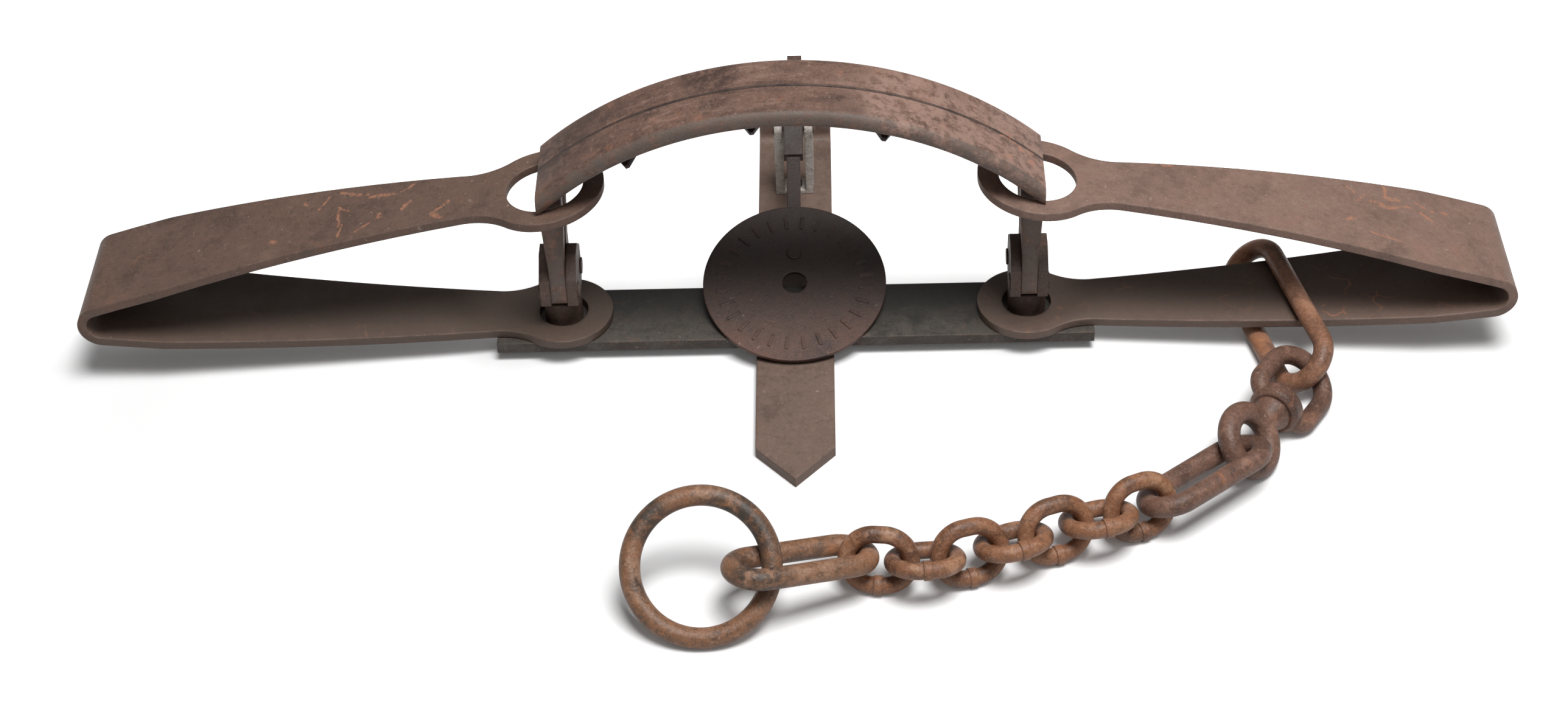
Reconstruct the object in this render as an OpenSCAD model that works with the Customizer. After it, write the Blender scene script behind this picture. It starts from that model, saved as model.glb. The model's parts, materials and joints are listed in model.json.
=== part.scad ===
// Closed double long-spring bear trap with toothed jaws, a swivel chain and a drag ring.
// Sizes are in millimetres. X runs along the base bar, Y to the back and Z up from the floor.

/* [Base] */
// Length of the base bar
base_len = 472; // [450:1:520]
// Width of the base bar
base_w = 64; // [58:1:72]
// Thickness of the base bar and of the cross bar
bar_t = 9; // [8:0.5:11]
// Width of the cross bar
cross_w = 61; // [56:1:68]
// Reach of the cross bar's point in front of the base's middle
cross_front = 182; // [160:1:200]
// Length of the cross bar's pointed end
cross_point = 34; // [20:1:45]
// Diameter of the rivets that join the bars
rivet_d = 11; // [8:0.5:14]
// Distance between the two rivets
rivet_span = 36; // [28:1:40]
// Height of a rivet's head
rivet_head_h = 4; // [3:0.5:5]

/* [Posts] */
// Distance between the two jaw posts
post_span = 368; // [360:1:376]
// Diameter of a post's round neck
post_d = 30; // [26:1:32]
// Height of a post's neck above the base bar
neck_h = 24; // [22:1:26]
// Width of a post's fork along the base bar
fork_w = 29; // [27:1:32]
// Depth of a post's fork across the base bar
fork_d = 47; // [46:1:50]
// Height of the fork's straight sides
fork_side_h = 25; // [23:1:28]
// Height of the fork's peak above its straight sides
fork_peak_h = 14; // [8:1:16]
// Width of the slot that holds the jaws' legs
slot_w = 13; // [11:0.5:14]
// Height of the slot's floor above the neck
slot_floor_h = 4; // [3:0.5:6]
// Diameter of the riveted tenon under a post
tenon_d = 18; // [14:1:22]
// Height of the tenon's riveted end under the base bar
tenon_head_h = 3.5; // [2:0.5:5]

/* [Jaws] */
// Diameter of the jaw pins
pin_d = 9; // [7:0.5:10]
// Distance between a post's two jaw pins
pin_gap = 30; // [29:0.5:31]
// Height of the jaw pins above the slot's floor
pin_lift = 12.5; // [12:0.5:14]
// Diameter of a jaw pin's head
pin_head_d = 13; // [11:0.5:15]
// Height of a jaw pin's head
pin_head_h = 1.5; // [1:0.5:3]
// Outer radius of the jaws' arch
arch_r = 284; // [276:1:292]
// Height of the arch's crown above the jaw pins
crown_h = 182.5; // [180:0.5:188]
// Width of one jaw's strap
strap_w = 35.8; // [32:0.2:40]
// Thickness of a jaw's strap
strap_t = 14.5; // [13:0.5:15]
// Radius of the strap's rounded outer edges
strap_edge_r = 6; // [3:0.5:6.4]
// Depth of a jaw's leg, across the base bar
leg_d = 21; // [19:0.5:22]
// Width of a jaw's leg at the strap
leg_top_w = 18; // [15:0.5:19]
// Height over which a leg widens above the fork
leg_flare_h = 45; // [35:1:50]
// Clearance of a leg in the slot on each side
leg_clear = 0.3; // [0.2:0.05:0.5]
// Gap between the two closed jaws
jaw_gap = 0.4; // [0.3:0.1:1]
// Number of teeth on each jaw
tooth_count = 3; // [2:1:3]
// Angle along the arch between a jaw's teeth
tooth_step = 21.9; // [20:0.1:23]
// Angle of a jaw's middle tooth from the crown
tooth_shift = 6; // [5.8:0.1:7]
// Width of a tooth at its root
tooth_w = 17; // [14:1:20]
// Reach of a tooth past the closed jaws' seam
tooth_reach = 26; // [20:1:27]
// Length of a tooth's root under its strap
tooth_root = 17; // [13:1:20]
// Length of a tooth's point
tooth_point = 14; // [10:1:18]
// Thickness of a tooth at its root
tooth_t = 11; // [9:0.5:13]

/* [Springs] */
// Thickness of the spring leaves
leaf_t = 7; // [6:0.5:8]
// Width of the leaves at the bend
leaf_w = 94; // [84:1:100]
// Distance of the bends' centres from the base's middle
bend_x = 540.5; // [520:0.5:560]
// Height of the bends' centres above the floor
bend_z = 57; // [52:0.5:62]
// Outer radius of a bend
bend_r = 18.5; // [16:0.5:21]
// Distance from the base's middle where the leaves reach their full width
full_w_x = 495; // [470:1:515]
// Diameter of the lower eye
low_eye_d = 78; // [72:1:84]
// Diameter of the lower eye's hole
low_hole_d = 39; // [36:0.5:44]
// Width of the lower leaf's neck
low_neck_w = 48; // [42:1:54]
// Distance of the lower leaf's neck from its post
low_neck_x = 48; // [44:1:54]
// Distance from the post where the lower leaf starts to rise
low_rise_x = 21; // [10:1:40]
// Diameter of the upper eye
up_eye_d = 92; // [86:1:98]
// Diameter of the upper eye's hole
up_hole_d = 60; // [58:0.5:64]
// Outward offset of the upper eye from its post
up_eye_shift = 5; // [2:0.5:7]
// Width of the upper leaf's neck
up_neck_w = 53; // [46:1:60]
// Distance of the upper leaf's neck from its eye
up_neck_x = 72; // [66:1:80]
// Slope of the upper eye in degrees
up_eye_tilt = 7; // [6:0.1:8]
// Slope of the upper leaf at the bend in degrees
up_root_tilt = 18.2; // [17:0.1:18.6]
// Radius of the fillets between an eye and its leaf
eye_fillet_r = 50; // [35:1:65]
// Clearance of the lower leaf above the base bar
leaf_lift = 0.3; // [0.2:0.05:0.6]

/* [Pan] */
// Diameter of the pan
pan_d = 146; // [136:1:152]
// Thickness of the pan
pan_t = 3; // [2:0.5:4]
// Slope of the dropped pan in degrees
pan_tilt = 17; // [14:0.5:18]
// Distance of the pan's middle from its pivot
pan_reach = 160; // [154:1:166]
// Diameter of the hole in the pan's middle
pan_hole_d = 20; // [12:1:30]
// Number of plain ridges round the pan
ridge_count = 28; // [12:1:32]
// Distance of the ridges from the pan's middle
ridge_r = 57; // [44:1:62]
// Length of a ridge
ridge_len = 11; // [5:0.5:14]
// Width of a ridge
ridge_w = 2.2; // [1.5:0.1:3]
// Height of a ridge
ridge_h = 0.8; // [0.5:0.1:1.2]
// Width of the pan's arm
arm_w = 11; // [8:0.5:13]
// Thickness of the pan's arm
arm_t = 6; // [5:0.5:7]
// Length of the catch block at the arm's end
block_len = 43; // [38:1:44]
// Width of the catch block
block_w = 16; // [14:0.5:18]
// Height of the catch block's back above the arm
block_h = 12; // [8:0.5:14]
// Height of the catch block's front above the arm
block_front_h = 3; // [1:0.5:6]
// Diameter of the pan's rivet
pan_rivet_d = 7; // [5:0.5:9]
// Distance of the bracket's pivot behind the base's middle
pivot_y = 171; // [166:1:171]
// Depth of the bracket's ears
ear_d = 17; // [15:0.5:18]
// Thickness of the bracket's ears
ear_t = 7; // [5:0.5:8]
// Thickness of the bracket's foot
foot_t = 4; // [3:0.5:5]
// Diameter of the pan's pivot pin
pivot_d = 7; // [5:0.5:8]
// Clearance of the catch block between the ears on each side
ear_clear = 1; // [0.5:0.1:2]
// Clearance of the dropped pan above the base bar
pan_clear = 0.4; // [0.3:0.1:1]

/* [Dog] */
// Distance of the dog post's front face behind the base's middle
dog_post_y = 240; // [236:1:250]
// Inner radius of the bend into the dog post
post_bend_r = 6; // [4:0.5:9]
// Height of the dog's pin above the floor
dog_pin_z = 46; // [44:0.5:48]
// Length of the dog from its pin
dog_len = 68; // [66:0.5:70]
// Width of the dog
dog_w = 12.4; // [10:0.2:13]
// Thickness of the dog
dog_t = 5; // [4:0.5:6]
// Diameter of the dog's pin
dog_pin_d = 6; // [5:0.5:7]
// Wall of the dog's rolled eye
dog_eye_wall = 3; // [2.5:0.5:4]
// Width of each prong of the dog post
prong_w = 12; // [9:0.5:15]
// Clearance of the dog in its post
dog_clear = 0.3; // [0.2:0.05:0.5]

/* [Chain] */
// Wire diameter of the small links
link_d = 12.7; // [12:0.1:13.2]
// Length of a small link
link_len = 59.5; // [58:0.5:62]
// Width of a small link
link_w = 52.5; // [51:0.5:54]
// Diameter of the weld bead on a small link
weld_d = 14.6; // [13.5:0.1:15]
// Wire diameter of the long links
long_d = 15.8; // [14.5:0.1:16]
// Length of a long link
long_len = 119.5; // [114:0.5:124]
// Width of a long link
long_w = 54; // [53.5:0.5:56]
// Wire diameter of the shackle round the spring
shackle_d = 15.5; // [14.5:0.1:16]
// Length of the shackle
shackle_len = 164; // [162:1:170]
// Width of the shackle
shackle_w = 60; // [58:0.5:64]
// Wire diameter of the swivel
swivel_d = 14.7; // [14:0.1:15.2]
// Width of the swivel's bow
swivel_w = 64; // [62:0.5:66]
// Wire diameter of the swivel's eye
eye_d = 17; // [16:0.1:17.4]
// Width of the swivel's eye
eye_w = 60; // [59:0.5:62]
// Length of the swivel between its eye and its bow's end
swivel_len = 104; // [100:1:108]
// Diameter of the swivel's shank
shank_d = 14; // [12:0.5:15]
// Diameter of the swivel's boss
boss_d = 40; // [37:0.5:42]
// Length of the shoulder between the swivel's eye and its boss
shoulder_len = 8; // [6:0.5:10]
// Thickness of the swivel's boss
boss_t = 18; // [14:0.5:20]
// Wire diameter of the drag ring
ring_d = 15.3; // [14.6:0.1:15.6]
// Outer diameter of the drag ring
ring_w = 117; // [113:1:122]
// Clearance between links
link_gap = 0.7; // [0.5:0.1:0.8]

/* [Fits] */
// Radial running clearance of the hinge pins
run_fit = 0.05; // [0.02:0.01:0.09]

/* [Hidden] */
$fn = 96;

// Heights above the floor
base_top = 2 * bar_t;
fork_z = base_top + neck_h;
slot_z = fork_z + slot_floor_h;
pin_z = slot_z + pin_lift;
fork_flare_h = 7;
side_top_z = fork_z + fork_flare_h + fork_side_h;
peak_z = side_top_z + fork_peak_h;
fork_peak_w = 14;

// Places along the base bar
post_x = post_span / 2;
pin_y = pin_gap / 2;

// Jaw arch
arch_z = pin_z + crown_h - arch_r;
jaw_half = post_x + leg_top_w / 2;
strap_seat = 0.3;
leg_pin_w = slot_w - 2 * leg_clear;
tooth_tip_drop = 7.5;
tooth_tip_t = 3;

// Spring leaves
bend_mid_r = bend_r - leaf_t / 2;
low_mid_z = base_top + leaf_lift + leaf_t / 2;
low_x0 = post_x + low_rise_x;
low_rise = bend_z - low_mid_z - bend_mid_r;
low_run = bend_x - low_x0;
low_root_tilt = 2 * atan(low_rise / low_run);
low_curve_r = low_run / sin(low_root_tilt) + bend_mid_r;
up_eye_x = post_x + up_eye_shift;
up_x0 = up_eye_x + up_eye_d / 2;
up_curve_r = (bend_x + bend_mid_r * sin(up_root_tilt) - up_x0) / (sin(up_root_tilt) - sin(up_eye_tilt));
up_centre = [bend_x - (up_curve_r - bend_mid_r) * sin(up_root_tilt),
             bend_z - (up_curve_r - bend_mid_r) * cos(up_root_tilt)];
up_top_r = up_curve_r + leaf_t / 2;

// The jaws' straps end flat, just above the upper leaves' eyes
strap_end_z = up_centre[1] + up_top_r * cos(up_eye_tilt) + strap_seat
            + (up_centre[0] + up_top_r * sin(up_eye_tilt) - jaw_half + strap_t / 2) * tan(up_eye_tilt);
leaf_steps = 14;
fillet_bite = 0.05;
bend_steps = 10;

// Pan and its pivot
arm_z = 0.6;
pan_rivet_r = 28;
pan_low_z = arm_z + arm_t;
pivot_z = base_top + pan_clear + (pivot_y + base_w / 2) * tan(pan_tilt) - pan_low_z / cos(pan_tilt);
block_back = 8;
block_low_z = -pivot_d / 2 - 4;
notch_z = 4.5;
notch_h = 9;
notch_d = 5;
ear_gap = block_w + 2 * ear_clear;
bracket_w = ear_gap + 2 * ear_t;

// Dog and its post
dog_pin_y = dog_post_y + bar_t / 2;
dog_eye_r = dog_pin_d / 2 + run_fit + dog_eye_wall;
dog_slot_w = dog_w + 2 * dog_clear;
dog_slot_z = dog_pin_z - dog_eye_r - dog_clear;
dog_post_top = dog_pin_z + dog_eye_r + 2;
dog_post_w = dog_slot_w + 2 * prong_w;

// Chain: places are worked out from the shackle on the right spring down to the ring
stand_roll = 69;
chain_z = (link_w - link_d) / 2 * sin(stand_roll) + weld_d / 2;
lie_roll = -24;
long_roll = -26;
last_roll = -18;
shackle_head = 103;
shackle_roll = -45;
shackle_x = 379;
swivel_head = 56;
bow_roll = 34;
bow_dip = 16;
bow_gap = 1;
eye_roll = 48;
ring_step = 22;
ring_lean = 1.2;
// Length, wire, heading, dip, roll and clearance of each link after the swivel
links = [[long_len, long_d, 38, 0.73, long_roll, 3.1],
         [link_len, link_d, 23, 0, stand_roll, link_gap],
         [link_len, link_d, 16, 0, lie_roll, link_gap],
         [link_len, link_d, 19, 0, stand_roll, link_gap],
         [link_len, link_d, 20.5, 0, lie_roll, link_gap],
         [link_len, link_d, 16, 0, stand_roll, link_gap],
         [link_len, link_d, 4, 0, lie_roll, link_gap],
         [link_len, link_d, -5, 0, stand_roll, link_gap],
         [long_len, long_d, 22, 12, last_roll, 1.15]];

function unit(v) = v / norm(v);
function heading(h, dip) = [cos(h) * cos(dip), sin(h) * cos(dip), -sin(dip)];

// Half-width of a leaf at a distance from its eye's centre
function taper(neck_w, neck_x, eye_x) = (leaf_w - neck_w) / 2 / (full_w_x - eye_x - neck_x);

// Points on an arc, with the angle measured from straight up
function arc_over(c, r, a0, a1, n) =
    [for (i = [0:n]) let (a = a0 + (a1 - a0) * i / n) [c[0] + r * sin(a), c[1] + r * cos(a)]];

// Points on an arc, with the angle measured from straight down
function arc_under(c, r, a0, a1, n) =
    [for (i = [0:n]) let (a = a0 + (a1 - a0) * i / n) [c[0] + r * sin(a), c[1] - r * cos(a)]];

// Height of the lower leaf's middle at a place along the base bar
function low_leaf_z(x) = low_mid_z + low_curve_r - sqrt(pow(low_curve_r, 2) - pow(max(x - low_x0, 0), 2));

// Shackle: its top strand lies on the lower leaf and its far end clears the leaf's far edge
shackle_rc = (shackle_w - shackle_d) / 2;
shackle_dir = heading(shackle_head, 0);
shackle_half = (shackle_len - shackle_d) / 2;
shackle_leaf_y = low_neck_w / 2 + taper(low_neck_w, low_neck_x, post_x) * (shackle_x - post_x - low_neck_x);
shackle_far_y = shackle_leaf_y + shackle_d / 2 + 5;
shackle_seat = 0.5;
shackle_z = low_leaf_z(shackle_x + shackle_rc) + leaf_t / 2 + shackle_d / 2 + shackle_seat
          + shackle_rc * sin(shackle_roll);
shackle_c = [shackle_x, shackle_far_y - shackle_half * shackle_dir[1], shackle_z];
shackle_near = shackle_c - shackle_half * shackle_dir;

// Swivel: its bow hooks the shackle's near end
swivel_rc = (swivel_w - swivel_d) / 2;
bow_crown = shackle_near
          + ((shackle_d + swivel_d) / 2 + bow_gap) * heading((shackle_head + swivel_head) / 2, bow_dip);
eye_rc = (eye_w - eye_d) / 2;
eye_z = eye_rc * sin(eye_roll) + eye_d / 2;
swivel_dip = asin((eye_z - bow_crown[2]) / swivel_len);
swivel_dir = heading(swivel_head, swivel_dip);
swivel_c = bow_crown - swivel_len * swivel_dir;
shank_clear = 0.3;
boss_x = eye_rc + eye_d / 2 + shoulder_len;
head_x = boss_x + boss_t + shank_clear;
shank_head_t = 5;
bow_arc_x = swivel_len - swivel_rc;
bow_corner_r = 12;

// Crown of each link at its ring side and at its spring side
function link_dir(i) = heading(link_head(i), link_dip(i));
function link_wire(i) = i < 0 ? eye_d : links[i][1];
function link_head(i) = i < 0 ? swivel_head : links[i][2];
function link_dip(i) = i < 0 ? swivel_dip : links[i][3];
function link_lies(i) = abs(links[i][4]) < 45;
function meet_dir(i) = link_lies(i) ? heading(link_head(i), link_dip(i - 1))
                                    : heading(link_head(i - 1), link_dip(i));
function ring_side(i) = i < 0 ? swivel_c - eye_rc * swivel_dir
                              : spring_side(i) - (links[i][0] - links[i][1]) * link_dir(i);
function spring_side(i) = ring_side(i - 1)
    + ((link_wire(i - 1) + link_wire(i)) / 2 + links[i][5]) * meet_dir(i);
function link_centre(i) = (ring_side(i) + spring_side(i)) / 2;

// Ring: its wire crosses the last long link and its front rests on the floor
ring_rc = (ring_w - ring_d) / 2;
ring_cross = link_centre(8) - ring_step * link_dir(8) + [0, ring_lean, 0];
ring_tilt = asin((ring_cross[2] - ring_d / 2) / ring_rc);
ring_c = ring_cross - [ring_rc, 0, 0];

// One link's wire in its own frame: length along X, width along Y
module oval(len, w, d) {
    rc = (w - d) / 2;
    for (s = [0, 180])
        rotate([0, 0, s])
            translate([(len - w) / 2, 0, 0])
                rotate([0, 0, -90])
                    rotate_extrude(angle = 180)
                        translate([rc, 0])
                            circle(d = d);
    for (y = [-rc, rc])
        translate([-(len - w) / 2, y, 0])
            rotate([0, 90, 0])
                cylinder(d = d, h = len - w);
}

// Turns a piece from its own frame to its place on the chain
module laid(c, h, dip, roll) {
    translate(c)
        rotate([0, 0, h])
            rotate([0, dip, 0])
                rotate([roll, 0, 0])
                    children();
}

// One link of the list, with a weld bead on the small ones
module chain_piece(i, w) {
    l = links[i];
    laid(link_centre(i), l[2], l[3], l[4]) {
        oval(l[0], w, l[1]);
        if (l[1] == link_d)
            translate([-3, -(w - link_d) / 2, 0])
                rotate([0, 90, 0])
                    cylinder(d = weld_d, h = 6);
    }
}

module base_bar() {
    color("dimgray")
        difference() {
            translate([-base_len / 2, -base_w / 2, bar_t])
                cube([base_len, base_w, bar_t]);
            for (x = [-post_x, post_x])
                translate([x, 0, bar_t - 1])
                    cylinder(d = tenon_d, h = bar_t + 2);
            rivet_places()
                translate([0, 0, bar_t - 1])
                    cylinder(d = rivet_d, h = bar_t + 2);
        }
}

module rivet_places() {
    for (x = [-rivet_span / 2, rivet_span / 2])
        translate([x, 0, 0])
            children();
}

module cross_bar() {
    bend_y = dog_post_y - post_bend_r;
    bend_top = bar_t + post_bend_r;
    color("slategray")
        difference() {
            union() {
                linear_extrude(bar_t)
                    polygon([[-cross_w / 2, -(cross_front - cross_point)], [0, -cross_front],
                             [cross_w / 2, -(cross_front - cross_point)], [cross_w / 2, bend_y],
                             [-cross_w / 2, bend_y]]);
                intersection() {
                    translate([-cross_w / 2, bend_y, bend_top])
                        rotate([0, 90, 0])
                            difference() {
                                cylinder(r = post_bend_r + bar_t, h = cross_w);
                                translate([0, 0, -1])
                                    cylinder(r = post_bend_r, h = cross_w + 2);
                            }
                    translate([-cross_w / 2, bend_y, 0])
                        cube([cross_w, post_bend_r + bar_t, bend_top]);
                }
                translate([0, dog_post_y + bar_t, 0])
                    rotate([90, 0, 0])
                        linear_extrude(bar_t)
                            polygon([[-cross_w / 2, bend_top], [cross_w / 2, bend_top],
                                     [cross_w / 2, bend_top + 6], [dog_post_w / 2, dog_slot_z],
                                     [dog_post_w / 2, dog_post_top - 4], [dog_post_w / 2 - 4, dog_post_top],
                                     [-dog_post_w / 2 + 4, dog_post_top], [-dog_post_w / 2, dog_post_top - 4],
                                     [-dog_post_w / 2, dog_slot_z], [-cross_w / 2, bend_top + 6]]);
            }
            translate([-dog_slot_w / 2, dog_post_y - 1, dog_slot_z])
                cube([dog_slot_w, bar_t + 2, dog_post_top - dog_slot_z + 1]);
            translate([-dog_post_w / 2 - 1, dog_pin_y, dog_pin_z])
                rotate([0, 90, 0])
                    cylinder(d = dog_pin_d, h = dog_post_w + 2);
            rivet_places()
                translate([0, 0, -1])
                    cylinder(d = rivet_d, h = bar_t + 2);
            translate([0, pivot_y, -1])
                cylinder(d = pan_rivet_d, h = bar_t + 2);
        }
}

module bar_rivets() {
    color("darkslategray")
        rivet_places() {
            cylinder(d = rivet_d, h = base_top);
            translate([0, 0, base_top])
                intersection() {
                    translate([0, 0, rivet_head_h - rivet_d])
                        sphere(r = rivet_d);
                    cylinder(r = rivet_d, h = rivet_head_h);
                }
        }
}

module post(x) {
    color("sienna")
        translate([x, 0, 0])
            difference() {
                union() {
                    translate([0, 0, bar_t - tenon_head_h])
                        cylinder(d = tenon_d + 5, h = tenon_head_h);
                    translate([0, 0, bar_t])
                        cylinder(d = tenon_d, h = bar_t);
                    translate([0, 0, base_top])
                        cylinder(d = post_d, h = neck_h);
                    translate([-fork_w / 2, 0, 0])
                        rotate([90, 0, 90])
                            linear_extrude(fork_w)
                                polygon([[-post_d / 2, fork_z], [post_d / 2, fork_z],
                                         [fork_d / 2, fork_z + fork_flare_h], [fork_d / 2, side_top_z],
                                         [fork_peak_w / 2, peak_z], [-fork_peak_w / 2, peak_z],
                                         [-fork_d / 2, side_top_z], [-fork_d / 2, fork_z + fork_flare_h]]);
                }
                translate([-slot_w / 2, -fork_d / 2 - 1, slot_z])
                    cube([slot_w, fork_d + 2, peak_z - slot_z + 1]);
                for (y = [-pin_y, pin_y])
                    translate([-fork_w / 2 - 1, y, pin_z])
                        rotate([0, 90, 0])
                            cylinder(d = pin_d, h = fork_w + 2);
            }
}

module left_post() {
    post(-post_x);
}

module right_post() {
    post(post_x);
}

module jaw_pins(x) {
    color("silver")
        for (y = [-pin_y, pin_y])
            translate([x - fork_w / 2, y, pin_z])
                rotate([0, 90, 0]) {
                    cylinder(d = pin_d, h = fork_w);
                    translate([0, 0, -pin_head_h])
                        cylinder(d = pin_head_d, h = pin_head_h);
                    translate([0, 0, fork_w])
                        cylinder(d = pin_head_d, h = pin_head_h);
                }
}

module left_jaw_pins() {
    jaw_pins(-post_x);
}

module right_jaw_pins() {
    jaw_pins(post_x);
}

// Solid of revolution about the arch's axis, which runs along Y
module about_arch() {
    translate([0, 0, arch_z])
        rotate([-90, 0, 0])
            children();
}

module strap_section() {
    inner_r = arch_r - strap_t;
    translate([inner_r, jaw_gap / 2])
        square([strap_t, strap_w - strap_edge_r - jaw_gap / 2]);
    translate([inner_r + strap_edge_r, jaw_gap / 2])
        square([strap_t - 2 * strap_edge_r, strap_w - jaw_gap / 2]);
    for (r = [inner_r + strap_edge_r, arch_r - strap_edge_r])
        translate([r, strap_w - strap_edge_r])
            circle(r = strap_edge_r);
}

module jaw_leg(x) {
    outline = [[-leg_pin_w / 2, pin_z], [leg_pin_w / 2, pin_z], [leg_pin_w / 2, peak_z],
               [leg_top_w / 2, peak_z + leg_flare_h], [leg_top_w / 2, pin_z + crown_h],
               [-leg_top_w / 2, pin_z + crown_h], [-leg_top_w / 2, peak_z + leg_flare_h],
               [-leg_pin_w / 2, peak_z]];
    intersection() {
        translate([x, pin_y + leg_d / 2, 0])
            rotate([90, 0, 0])
                linear_extrude(leg_d)
                    polygon(outline);
        about_arch()
            cylinder(r = arch_r - strap_t / 2, h = strap_w, $fn = 360);
        translate([x, pin_y, pin_z])
            cylinder(d = leg_d, h = crown_h);
    }
    intersection() {
        translate([x - leg_pin_w / 2, pin_y, pin_z])
            rotate([0, 90, 0])
                cylinder(d = leg_d, h = leg_pin_w);
        translate([x, pin_y, pin_z - leg_d])
            cylinder(d = leg_d, h = 2 * leg_d);
    }
}

// The back jaw; the front one is the same piece turned round
module jaw() {
    difference() {
        union() {
            intersection() {
                about_arch()
                    rotate_extrude($fn = 360)
                        strap_section();
                translate([-jaw_half, -1, strap_end_z])
                    cube([2 * jaw_half, strap_w + 2, arch_r]);
            }
            jaw_leg(-post_x);
            jaw_leg(post_x);
        }
        for (x = [-post_x, post_x])
            translate([x - slot_w, pin_y, pin_z])
                rotate([0, 90, 0])
                    cylinder(r = pin_d / 2 + run_fit, h = 2 * slot_w);
    }
}

// One spike under the strap, pointing to the front across the seam
module tooth() {
    inner_r = arch_r - strap_t;
    intersection() {
        rotate([90, 0, 90])
            translate([0, 0, -tooth_w / 2])
                linear_extrude(tooth_w)
                    polygon([[tooth_root, inner_r - tooth_t / 2], [tooth_root, inner_r + 1],
                             [strap_w / 4, inner_r + 1], [strap_w / 4, inner_r - 1],
                             [-tooth_reach, inner_r - tooth_tip_drop],
                             [-tooth_reach, inner_r - tooth_tip_drop - tooth_tip_t],
                             [strap_w / 4, inner_r - tooth_t]]);
        translate([0, 0, inner_r - tooth_tip_drop - tooth_t])
            linear_extrude(tooth_t + tooth_tip_drop + 2)
                polygon([[-tooth_w / 2, tooth_root], [-tooth_w / 2, tooth_point - tooth_reach],
                         [-1.5, -tooth_reach], [1.5, -tooth_reach],
                         [tooth_w / 2, tooth_point - tooth_reach], [tooth_w / 2, tooth_root]]);
        translate([0, -tooth_reach - 1, 0])
            rotate([-90, 0, 0])
                cylinder(r = inner_r, h = tooth_reach + strap_w + 2, $fn = 360);
    }
}

module jaw_teeth() {
    for (i = [0:tooth_count - 1])
        translate([0, 0, arch_z])
            rotate([0, (i - (tooth_count - 1) / 2) * tooth_step - tooth_shift, 0])
                tooth();
}

module rear_jaw() {
    color("saddlebrown")
        jaw();
}

module front_jaw() {
    color("peru")
        rotate([0, 0, 180])
            jaw();
}

module rear_jaw_teeth() {
    color("black")
        jaw_teeth();
}

module front_jaw_teeth() {
    color("black")
        rotate([0, 0, 180])
            jaw_teeth();
}

// Outline from above of a leaf outside its eye, filleted where the two meet
module leaf_plan(eye_x, eye_r, neck_w, neck_x) {
    k = taper(neck_w, neck_x, eye_x);
    slant = sqrt(1 + k * k);
    a = neck_w / 2 - k * neck_x + eye_fillet_r * slant;
    reach = eye_r + eye_fillet_r;
    run = (-a * k + sqrt(pow(a * k, 2) - slant * slant * (a * a - reach * reach))) / (slant * slant);
    centre = [run, a + k * run];
    touch_eye = centre * eye_r / reach;
    touch_leaf = centre + eye_fillet_r / slant * [k, -1];
    tip_x = bend_x + bend_r + 1 - eye_x;
    edge = [[0, touch_eye[1]], touch_eye, centre, touch_leaf, [full_w_x - eye_x, leaf_w / 2],
            [tip_x, leaf_w / 2]];
    far_edge = [for (i = [5:-1:0]) [edge[i][0], -edge[i][1]]];
    difference() {
        polygon(concat(edge, far_edge));
        for (y = [-centre[1], centre[1]])
            translate([centre[0], y])
                circle(r = eye_fillet_r + fillet_bite);
    }
}

// Gives a side outline the leaf's width, an eye and the outline from above
module leaf(eye_x, eye_d, hole_d, neck_w, neck_x, side) {
    difference() {
        intersection() {
            translate([0, leaf_w / 2 + 1, 0])
                rotate([90, 0, 0])
                    linear_extrude(leaf_w + 2)
                        polygon(side);
            translate([eye_x, 0, -1])
                union() {
                    cylinder(d = eye_d, h = arch_r);
                    linear_extrude(arch_r)
                        leaf_plan(eye_x, eye_d / 2, neck_w, neck_x);
                }
        }
        translate([eye_x, 0, -2])
            cylinder(d = hole_d, h = arch_r + 2);
    }
}

module spring_lower() {
    start_x = post_x - low_eye_d;
    curve_c = [low_x0, low_mid_z + low_curve_r];
    out_r = low_curve_r + leaf_t / 2;
    in_r = low_curve_r - leaf_t / 2;
    side = concat([[start_x, low_mid_z - leaf_t / 2]],
                  arc_under(curve_c, out_r, 0, low_root_tilt, leaf_steps),
                  arc_under([bend_x, bend_z], bend_r, low_root_tilt + 1, 90, bend_steps),
                  arc_under([bend_x, bend_z], bend_r - leaf_t, 90, low_root_tilt + 1, bend_steps),
                  arc_under(curve_c, in_r, low_root_tilt, 0, leaf_steps),
                  [[start_x, low_mid_z + leaf_t / 2]]);
    leaf(post_x, low_eye_d, low_hole_d, low_neck_w, low_neck_x, side);
}

module spring_upper() {
    eye_run = up_eye_d * 1.2;
    back = eye_run * [-cos(up_eye_tilt), sin(up_eye_tilt)];
    in_r = up_curve_r - leaf_t / 2;
    out_arc = arc_over(up_centre, up_top_r, up_eye_tilt, up_root_tilt, leaf_steps);
    in_arc = arc_over(up_centre, in_r, up_root_tilt, up_eye_tilt, leaf_steps);
    side = concat([out_arc[0] + back], out_arc,
                  arc_over([bend_x, bend_z], bend_r, up_root_tilt + 1, 90, bend_steps),
                  arc_over([bend_x, bend_z], bend_r - leaf_t, 90, up_root_tilt + 1, bend_steps),
                  in_arc, [in_arc[leaf_steps] + back]);
    leaf(up_eye_x, up_eye_d, up_hole_d, up_neck_w, up_neck_x, side);
}

module right_spring_lower() {
    color("rosybrown")
        spring_lower();
}

module right_spring_upper() {
    color("tan")
        spring_upper();
}

module left_spring_lower() {
    color("rosybrown")
        mirror([1, 0, 0])
            spring_lower();
}

module left_spring_upper() {
    color("tan")
        mirror([1, 0, 0])
            spring_upper();
}

// The pan's own frame: its pivot is the origin and its arm runs to the front
module pan_frame() {
    translate([0, pivot_y, pivot_z])
        rotate([pan_tilt, 0, 0])
            children();
}

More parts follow.
